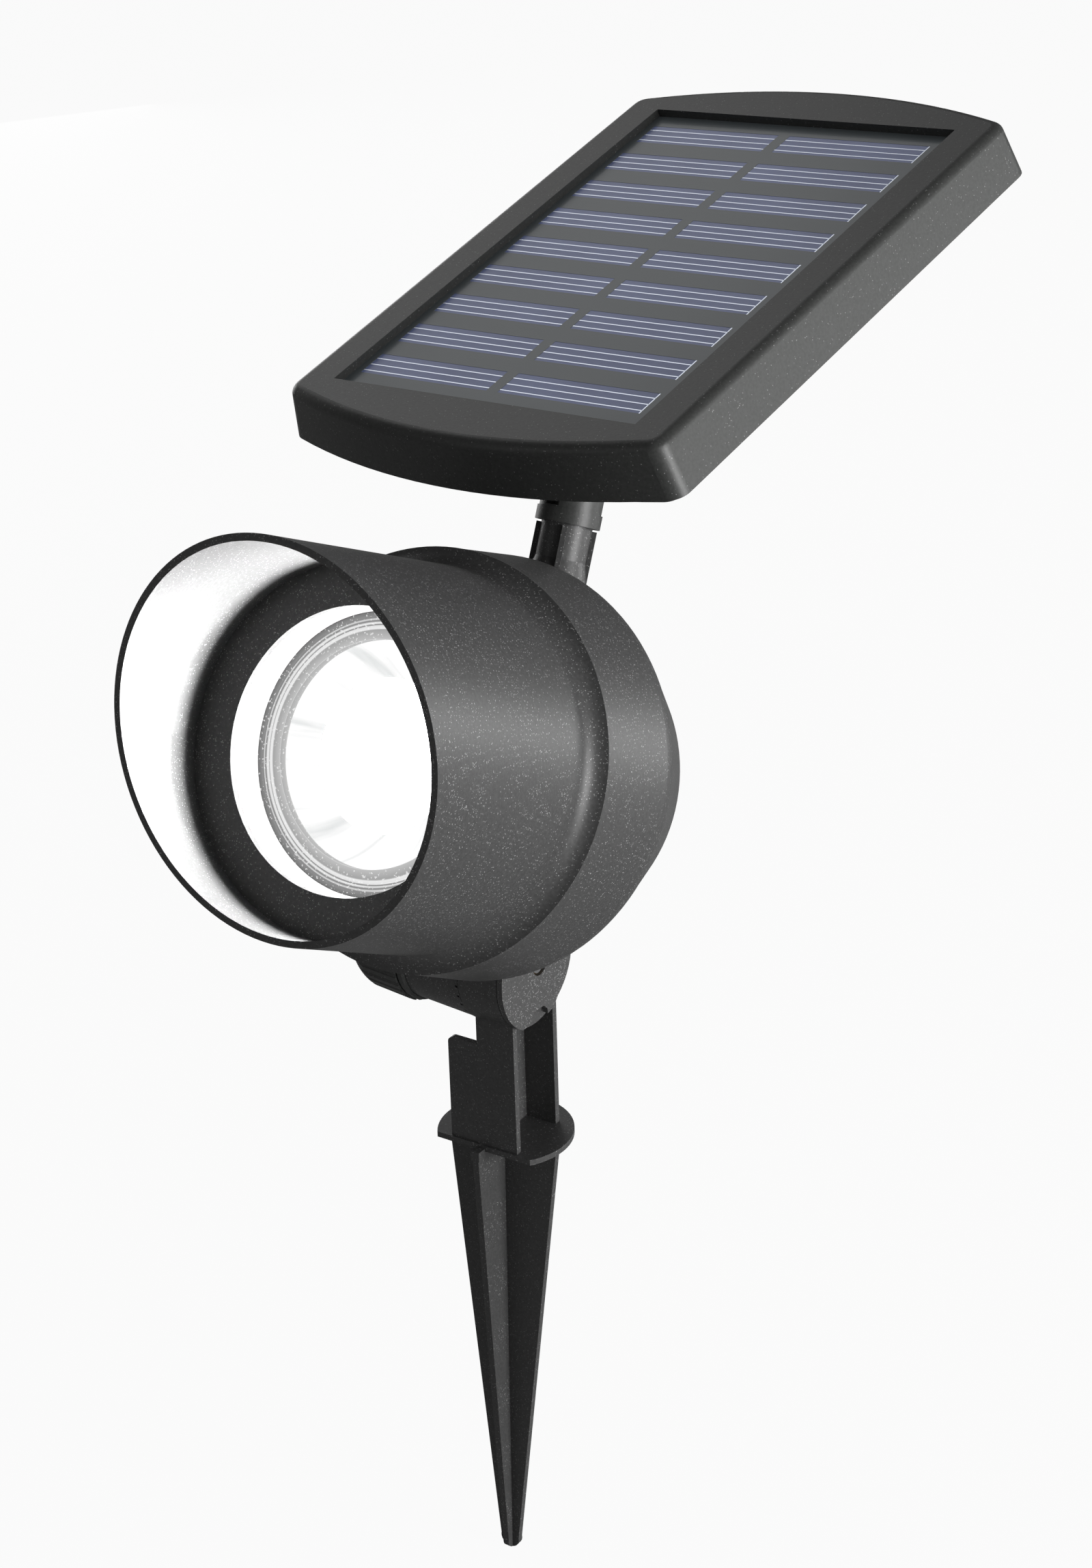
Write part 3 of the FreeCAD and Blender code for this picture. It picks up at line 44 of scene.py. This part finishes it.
# ---- frames of the head and the panel at rest -------------------------------
PIVOT_BACK = 53.4 * MM       # tilt pivot behind the head's origin
PIVOT_DOWN = 47.4 * MM       # and below it
PANEL_AHEAD = 40.2 * MM      # middle of the panel from the tilt pin, along the panel
PANEL_RISE = 30.0 * MM       # and square to it
JOINTS = {j["name"]: j for j in frame["record"]["behaviour"]["joints"]}
PIVOT = Vector(JOINTS["head_tilt"]["pos_m"])
TILT_PIN = Vector(JOINTS["panel_tilt"]["pos_m"])
UP = Vector(JOINTS["panel_swivel"]["axis"]).normalized()
HEAD_X = Vector((1, 0, 0))
HEAD_Y = UP.cross(HEAD_X)
HEAD_ORIGIN = PIVOT - HEAD_Y * PIVOT_BACK + UP * PIVOT_DOWN
PANEL_X = Vector(JOINTS["panel_tilt"]["axis"]).normalized()
PANEL_Z = Vector(JOINTS["switch_press"]["axis"]).normalized()
PANEL_Y = PANEL_Z.cross(PANEL_X)
PANEL_ORIGIN = TILT_PIN + PANEL_Y * PANEL_AHEAD + PANEL_Z * PANEL_RISE


def matrix_of(origin, x, y, z):
    """Matrix of a frame from its origin and its three axes."""
    columns = Matrix((x, y, z)).transposed().to_4x4()
    return Matrix.Translation(origin) @ columns


HEAD = matrix_of(HEAD_ORIGIN, HEAD_X, HEAD_Y, UP)
PANEL = matrix_of(PANEL_ORIGIN, PANEL_X, PANEL_Y, PANEL_Z)


# ---- materials --------------------------------------------------------------
def linear(hex_code):
    """sRGB hex to linear RGBA."""
    values = [int(hex_code[i:i + 2], 16) / 255.0 for i in (0, 2, 4)]
    curve = [v / 12.92 if v <= 0.04045 else ((v + 0.055) / 1.055) ** 2.4 for v in values]
    return tuple(curve) + (1.0,)


def settle(node, **values):
    """Sets inputs of a node; a name's underscores stand for spaces."""
    for key, value in values.items():
        node.inputs[key.replace("_", " ")].default_value = value


def add(tree, kind, links=(), **settings):
    """Adds a node; settings are properties or input values, links are (input, output socket)."""
    node = tree.nodes.new(kind)
    for key, value in settings.items():
        if hasattr(node, key):
            setattr(node, key, value)
        else:
            settle(node, **{key: value})
    for name, socket in links:
        tree.links.new(node.inputs[name], socket)
    return node


def new_material(name):
    """Material with a principled shader, its tree and the shader node."""
    material = bpy.data.materials.new(name)
    material.use_nodes = True
    tree = material.node_tree
    return material, tree, tree.nodes["Principled BSDF"]


def coords(tree, matrix=None):
    """Object coordinates, in the head's or the panel's own frame if one is given."""
    source = add(tree, "ShaderNodeTexCoord").outputs["Object"]
    if matrix is None:
        return source
    back = matrix.inverted()
    mapping = add(tree, "ShaderNodeMapping", [("Vector", source)], vector_type="POINT")
    mapping.inputs["Location"].default_value = back.to_translation()
    mapping.inputs["Rotation"].default_value = back.to_euler("XYZ")
    return mapping.outputs["Vector"]


def math_node(tree, operation, a, b=None):
    """One arithmetic node; a and b are sockets or numbers."""
    node = add(tree, "ShaderNodeMath", operation=operation)
    for index, value in enumerate((a, b)):
        if value is None:
            continue
        if isinstance(value, (int, float)):
            node.inputs[index].default_value = value
        else:
            tree.links.new(node.inputs[index], value)
    return node.outputs[0]


def ramp(tree, factor, stops):
    """Colour ramp from (position, linear colour) stops."""
    node = add(tree, "ShaderNodeValToRGB", [("Fac", factor)])
    elements = node.color_ramp.elements
    while len(elements) < len(stops):
        elements.new(0.5)
    for element, (position, colour) in zip(elements, stops):
        element.position = position
        element.color = colour
    return node.outputs["Color"]


def mix(tree, factor, colour, other):
    """Colour that goes from a socket's to an even one as the factor rises."""
    node = add(tree, "ShaderNodeMix", data_type="RGBA")
    tree.links.new(node.inputs["Factor"], factor)
    tree.links.new(node.inputs["A"], colour)
    node.inputs["B"].default_value = linear(other)
    return node.outputs["Result"]


# flecks and grain of the moulded plastics; scales are cells to the metre
FLECK_SCALE = 2900.0
FLECK_SIZE = 0.42            # reach of a fleck inside its cell
PATCH_SCALE = 70.0
GRAIN_SCALE = 1300.0
GRAIN_DEPTH = 0.0001
GRAIN_STRENGTH = 0.25
GRAIN_LIGHTER = 1.3          # the grain's lightest tone over the base
PLASTIC_ROUGH = 0.45


def flecked_plastic(name, base, fleck, share):
    """Satin moulded plastic with very fine light flecks, patchy in density, and a fine grain."""
    material, tree, shader = new_material(name)
    place = coords(tree)
    cells = add(tree, "ShaderNodeTexVoronoi", [("Vector", place)],
                Scale=FLECK_SCALE, Randomness=1.0)
    near = math_node(tree, "LESS_THAN", cells.outputs["Distance"], FLECK_SIZE)
    pick = add(tree, "ShaderNodeSeparateColor", [("Color", cells.outputs["Color"])])
    patch = add(tree, "ShaderNodeTexNoise", [("Vector", place)], Scale=PATCH_SCALE, Detail=2.0)
    local = math_node(tree, "MULTIPLY", patch.outputs["Fac"], 2.0 * share)
    chosen = math_node(tree, "LESS_THAN", pick.outputs["Red"], local)
    shown = math_node(tree, "MULTIPLY", near, chosen)
    spark = math_node(tree, "MULTIPLY", shown, pick.outputs["Green"])
    cloud = add(tree, "ShaderNodeTexNoise", [("Vector", place)], Scale=GRAIN_SCALE, Detail=2.0)
    colour = linear(base)
    lighter = tuple(c * GRAIN_LIGHTER for c in colour[:3]) + (1.0,)
    tone = ramp(tree, cloud.outputs["Fac"], [(0.35, colour), (0.65, lighter)])
    tree.links.new(shader.inputs["Base Color"], mix(tree, spark, tone, fleck))
    settle(shader, Roughness=PLASTIC_ROUGH)
    bump = add(tree, "ShaderNodeBump", [("Height", cloud.outputs["Fac"])],
               Strength=GRAIN_STRENGTH, Distance=GRAIN_DEPTH)
    tree.links.new(shader.inputs["Normal"], bump.outputs["Normal"])
    return material


def plain(name, colour, rough=0.5, metal=0.0, **extra):
    """One even finish."""
    material, _, shader = new_material(name)
    settle(shader, Base_Color=linear(colour), Roughness=rough, Metallic=metal, **extra)
    return material


def glowing(name, colour, rough, strength):
    """An even finish that also gives off light of its own colour."""
    return plain(name, colour, rough, Emission_Color=linear(colour), Emission_Strength=strength)


# ABS plastic, charcoal with metallic flecks
body_plastic = flecked_plastic("charcoal flecked ABS", "414141", "a2a2a2", 0.17)
# ABS plastic, black, with few flecks, on the panel and the small parts
panel_plastic = flecked_plastic("black ABS", "373837", "8a8a8a", 0.045)
# polypropylene, black, with flecks, on the ground spike
spike_plastic = flecked_plastic("black polypropylene", "3e3e3e", "949494", 0.12)
# silicone rubber of the seal, the sealant and the switch's button
rubber = plain("black silicone rubber", "161616", 0.7)
# zinc-plated steel of the fasteners and contacts
steel = plain("zinc-plated steel", "b9babb", 0.3, 1.0)
alloy = plain("cast aluminium", "a9abad", 0.45, 1.0)
brass = plain("brass", "b08d4a", 0.35, 1.0)
# white solder mask round the diodes, with a painted glow for their light on it
glowing_white_board = glowing("white solder mask", "f2f2ee", 0.5, 0.7)
green_board = plain("circuit board solder mask", "0f4a2c", 0.4)
sleeve = plain("battery sleeve", "2f7a3f", 0.35)


def polar(tree):
    """Angle round the lamp's axis and distance from it, in the head's own frame."""
    axes = add(tree, "ShaderNodeSeparateXYZ", [("Vector", coords(tree, HEAD))])
    angle = math_node(tree, "ARCTAN2", axes.outputs["Z"], axes.outputs["X"])
    square_x = math_node(tree, "MULTIPLY", axes.outputs["X"], axes.outputs["X"])
    square_z = math_node(tree, "MULTIPLY", axes.outputs["Z"], axes.outputs["Z"])
    radius = math_node(tree, "SQRT", math_node(tree, "ADD", square_x, square_z))
    return angle, radius


STREAKS_AROUND = 4.0         # noise cells to the radian, and to the metre outwards
STREAKS_OUTWARD = 30.0


def painted_glow_white(name):
    """Vacuum-plated reflector with a painted glow that stands for the diodes' light on it, with
    faint darker streaks in the glow along the bowl.
    """
    material, tree, shader = new_material(name)
    angle, radius = polar(tree)
    around = math_node(tree, "MULTIPLY", angle, STREAKS_AROUND)
    outward = math_node(tree, "MULTIPLY", radius, STREAKS_OUTWARD)
    along = add(tree, "ShaderNodeCombineXYZ", [("X", around), ("Y", outward)])
    noise = add(tree, "ShaderNodeTexNoise", [("Vector", along.outputs["Vector"])],
                Scale=1.3, Detail=3.0, Distortion=0.5)
    colour = ramp(tree, noise.outputs["Fac"],
                  [(0.3, linear("dadcdc")), (0.46, linear("fafafa")), (0.56, linear("ffffff"))])
    # painted glow: the emission stands for the diodes' light on the plated bowl
    tree.links.new(shader.inputs["Emission Color"], colour)
    settle(shader, Base_Color=linear("202020"), Emission_Strength=1.0, Roughness=0.6)
    return material


# plated reflector; its glow is painted light, given off as emission
reflector_finish = painted_glow_white("plated reflector with painted glow")
led_finish = glowing("lit diode", "fffdf2", 0.4, 1.5)

# painted glow across the lens, by share of its radius: clear middle, then the moulded rings,
# painted as bright and dark bands of light
LENS_RIM = 34.3 * MM
RING_START = 0.795
LENS_GLOW_BANDS = [(0.0, "ffffff"), (0.79, "ffffff"), (0.80, "c2c2c2"), (0.865, "a6a6a6"),
              (0.872, "f2f2f2"), (0.895, "e6e6e6"), (0.902, "757575"), (0.913, "f4f4f4"),
              (0.927, "6c6c6c"), (0.94, "e4e4e4"), (0.95, "8f8f8f"), (0.985, "7c7c7c"),
              (1.0, "454545")]


def clear_plastic(name):
    """Clear polycarbonate; its moulded rings get a painted glow of bright and dark bands that
    hides what is behind.
    """
    material, tree, shader = new_material(name)
    radius = polar(tree)[1]
    share = math_node(tree, "DIVIDE", radius, LENS_RIM)
    bands = ramp(tree, share, [(at, linear(code)) for at, code in LENS_GLOW_BANDS])
    # lighter specks in the rings' painted glow
    speckle_noise = add(tree, "ShaderNodeTexNoise", [("Vector", coords(tree))], Scale=1500.0, Detail=1.0)
    spark = math_node(tree, "GREATER_THAN", speckle_noise.outputs["Fac"], 0.66)
    ring = math_node(tree, "GREATER_THAN", share, RING_START)
    speckled_glow = mix(tree, math_node(tree, "MULTIPLY", spark, 0.6), bands, "ffffff")
    # painted light: the rings give off the bands and specks as emission
    tree.links.new(shader.inputs["Emission Color"], speckled_glow)
    tree.links.new(shader.inputs["Emission Strength"], math_node(tree, "MULTIPLY", ring, 0.95))
    tone = ramp(tree, ring, [(0.4, linear("ffffff")), (0.6, linear("101010"))])
    tree.links.new(shader.inputs["Base Color"], tone)
    clear = math_node(tree, "SUBTRACT", 1.0, ring)
    tree.links.new(shader.inputs["Transmission Weight"], clear)
    settle(shader, Roughness=0.05, IOR=1.2)
    return material


lens_finish = clear_plastic("clear polycarbonate")

# clear resin over the panel's backing and its cells
RESIN = {"Specular_IOR_Level": 0.22, "Coat_Weight": 0.12, "Coat_Roughness": 0.05}
laminate_finish = plain("dark backing under resin", "70777b", 0.3, **RESIN)


def silicon(name):
    """Blue-violet silicon with faint lengthwise shade."""
    material, tree, shader = new_material(name)
    place = coords(tree, PANEL)
    noise = add(tree, "ShaderNodeTexNoise", [("Vector", place)], Scale=35.0, Detail=2.0)
    colour = ramp(tree, noise.outputs["Fac"], [(0.35, linear("7886bc")), (0.65, linear("8896cc"))])
    tree.links.new(shader.inputs["Base Color"], colour)
    settle(shader, Roughness=0.25, **RESIN)
    return material


cell_finish = silicon("silicon cells under resin")
# printed silver paste
finger_finish = plain("printed silver fingers", "e4ebf8", 0.35, 1.0)

FINISHES = {
    "ground_stake": spike_plastic,
    "rear_housing": body_plastic,
    "hood": body_plastic,
    "lip_seal": rubber,
    "reflector": reflector_finish,
    "lens": lens_finish,
    "led_board": glowing_white_board,
    "leds": led_finish,
    "heat_sink": alloy,
    "board_screws": steel,
    "thread_insert": brass,
    "thrust_washer": panel_plastic,
    "clamp_knob": panel_plastic,
    "clamp_screw": steel,
    "swivel_fork": panel_plastic,
    "neck_clip": steel,
    "tilt_bolt": steel,
    "tilt_nut": steel,
    "panel_frame": panel_plastic,
    "panel_base": panel_plastic,
    "solar_laminate": laminate_finish,
    "solar_cells": cell_finish,
    "sealant_bead": rubber,
    "base_screws": steel,
    "battery_door": panel_plastic,
    "door_screws": steel,
    "batteries": sleeve,
    "battery_tray": panel_plastic,
    "battery_contacts": steel,
    "control_board": green_board,
    "switch_body": panel_plastic,
    "switch_button": rubber,
}
for node, finish in FINISHES.items():
    piece = frame["nodes"][node]
    piece.data.materials.clear()
    piece.data.materials.append(finish)
# the clear lens lets the diodes' light through
frame["nodes"]["lens"].visible_shadow = False


# ---- silver fingers and bus lines on the cells ------------------------------
def link(name, data):
    """Puts a mesh, light or camera into the scene as an object."""
    thing = bpy.data.objects.new(name, data)
    bpy.context.scene.collection.objects.link(thing)
    return thing


def mesh_object(name, bm, finish):
    """Makes the mesh an object of the scene, with its finish."""
    mesh = bpy.data.meshes.new(name)
    bm.to_mesh(mesh)
    bm.free()
    mesh.materials.append(finish)
    return link(name, mesh)


WINDOW_W = 98.1 * MM
WINDOW_L = 141.6 * MM
CELL_L = 8.8 * MM
CELL_LEFT = 2.35 * MM
CELL_RIGHT = 4.75 * MM
CELL_GAP = 3.6 * MM
CELL_TAB = 2.2 * MM
CELL_NEAR = 11.5 * MM
CELL_FAR = 9.8 * MM
CELL_W = (WINDOW_W - CELL_LEFT - CELL_RIGHT - CELL_GAP - CELL_TAB) / 2.0
CELL_TOP = -2.25 * MM
COLUMNS = 2
ROWS = 9
FINGERS = 3
FINGER_PITCH = 2.7 * MM
FINGER_NEAR = 1.1 * MM
FINGER_T = 0.34 * MM
FINGER_H = 0.04 * MM


def bar(bm, x0, x1, y0, y1):
    """Printed line between two corners, on top of the cells, in the panel's frame."""
    size = Vector((x1 - x0, y1 - y0, FINGER_H))
    centre = Vector(((x0 + x1) / 2.0, (y0 + y1) / 2.0, CELL_TOP + FINGER_H / 2.0))
    place = PANEL @ Matrix.Translation(centre) @ Matrix.Diagonal(size.to_4d())
    bmesh.ops.create_cube(bm, size=1.0, matrix=place)


bm = bmesh.new()
step_y = (WINDOW_L - CELL_NEAR - CELL_FAR) / (ROWS - 1)
for column in range(COLUMNS):
    x0 = -WINDOW_W / 2.0 + CELL_LEFT + (CELL_W + CELL_GAP) * column
    x1 = x0 + CELL_W + CELL_TAB * column
    for row in range(ROWS):
        y0 = -WINDOW_L / 2.0 + CELL_NEAR - CELL_L / 2.0 + step_y * row
        for finger in range(FINGERS):
            y = y0 + FINGER_NEAR + FINGER_PITCH * finger
            bar(bm, x0, x1, y, y + FINGER_T)
        if column:
            bar(bm, x1 - FINGER_T, x1, y0, y0 + CELL_L)
fingers = mesh_object("cell_fingers", bm, finger_finish)
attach(fingers, "panel")


# ---- stage, light and camera ------------------------------------------------
FLOOR_HALF = 6.0
FLOOR_WHITE = 0.95           # how white the floor looks where it is seen directly
WORLD_LIGHT = 0.13           # what the world lights the object with
WHITE = 1.0


def seen_directly(tree):
    """1 for what the camera sees, also through clear plastic, else 0."""
    rays = add(tree, "ShaderNodeLightPath")
    through = rays.outputs["Is Transmission Ray"]
    return math_node(tree, "MAXIMUM", rays.outputs["Is Camera Ray"], through)


floor_paint, tree, shader = new_material("white paper floor")
settle(shader, Base_Color=linear("a0a0a0"), Roughness=0.9)
white = add(tree, "ShaderNodeEmission", Strength=WHITE)
blend = add(tree, "ShaderNodeMixShader")
tree.links.new(blend.inputs[0], math_node(tree, "MULTIPLY", seen_directly(tree), FLOOR_WHITE))
tree.links.new(blend.inputs[1], shader.outputs["BSDF"])
tree.links.new(blend.inputs[2], white.outputs["Emission"])
tree.links.new(tree.nodes["Material Output"].inputs["Surface"], blend.outputs["Shader"])

bm = bmesh.new()
floor_place = Matrix.Translation((0, 0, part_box("ground_stake")[0].z))
bmesh.ops.create_grid(bm, x_segments=1, y_segments=1, size=FLOOR_HALF, matrix=floor_place)
mesh_object("floor", bm, floor_paint)

world = bpy.data.worlds.new("studio")
bpy.context.scene.world = world
world.use_nodes = True
tree = world.node_tree
background = tree.nodes["Background"]
settle(background, Color=(1.0, 1.0, 1.0, 1.0))
strength = add(tree, "ShaderNodeMapRange", [("Value", seen_directly(tree))])
settle(strength, To_Min=WORLD_LIGHT, To_Max=WHITE)
tree.links.new(background.inputs["Strength"], strength.outputs["Result"])


def area_light(name, shape, size, power, matrix):
    """Soft lamp that shines along its own -Z and that the camera doesn't see."""
    data = bpy.data.lights.new(name, "AREA")
    data.shape = shape
    data.size = size
    data.energy = power
    lamp = link(name, data)
    lamp.matrix_world = matrix
    lamp.visible_camera = False
    return lamp


MIDDLE = Vector((0, 0.02, 0.1))
# name, place, size in metres and power in watts of each soft box; all aim at the middle
SOFT_BOXES = (
    ("key", (2.0, 0.0, 0.25), 1.0, 50.0),
    ("sheen", (0.8, 1.1, 0.06), 0.36, 4.0),
    ("back", (-1.3, 0.95, 1.5), 1.2, 4.5),
    ("fill", (-0.9, -1.6, 0.35), 1.2, 1.5),
    ("rear", (-1.7, 1.0, 0.12), 1.2, 16.0),
)
for name, place, size, power in SOFT_BOXES:
    place = Vector(place)
    aim = (MIDDLE - place).to_track_quat("-Z", "Y")
    area_light(name, "SQUARE", size, power, Matrix.Translation(place) @ aim.to_matrix().to_4x4())

# the diodes' own light, thrown forwards out of the bowl
GLOW_SIZE = 37.0 * MM
GLOW_Y = -16.2 * MM
GLOW_POWER = 0.37
forwards = Euler((math.radians(-90), 0, 0)).to_matrix().to_4x4()
glow_place = HEAD @ Matrix.Translation((0, GLOW_Y, 0)) @ forwards
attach(area_light("glow", "DISK", GLOW_SIZE, GLOW_POWER, glow_place), "head")

CAMERA_PLACE = Vector((0.4022, -0.5788, 0.4155))
CAMERA_RIGHT = Vector((0.8380, 0.5451, -0.0264))
CAMERA_UP = Vector((-0.2021, 0.3549, 0.9128))
CAMERA_BACK = Vector((0.5069, -0.7596, 0.4075))
camera_data = bpy.data.cameras.new("camera")
camera_data.lens = 70.31
camera_data.sensor_width = 36.0
camera_data.sensor_fit = "AUTO"
camera = link("camera", camera_data)
camera.matrix_world = matrix_of(CAMERA_PLACE, CAMERA_RIGHT, CAMERA_UP, CAMERA_BACK)
bpy.context.scene.camera = camera
bpy.context.scene.view_settings.view_transform = "Standard"
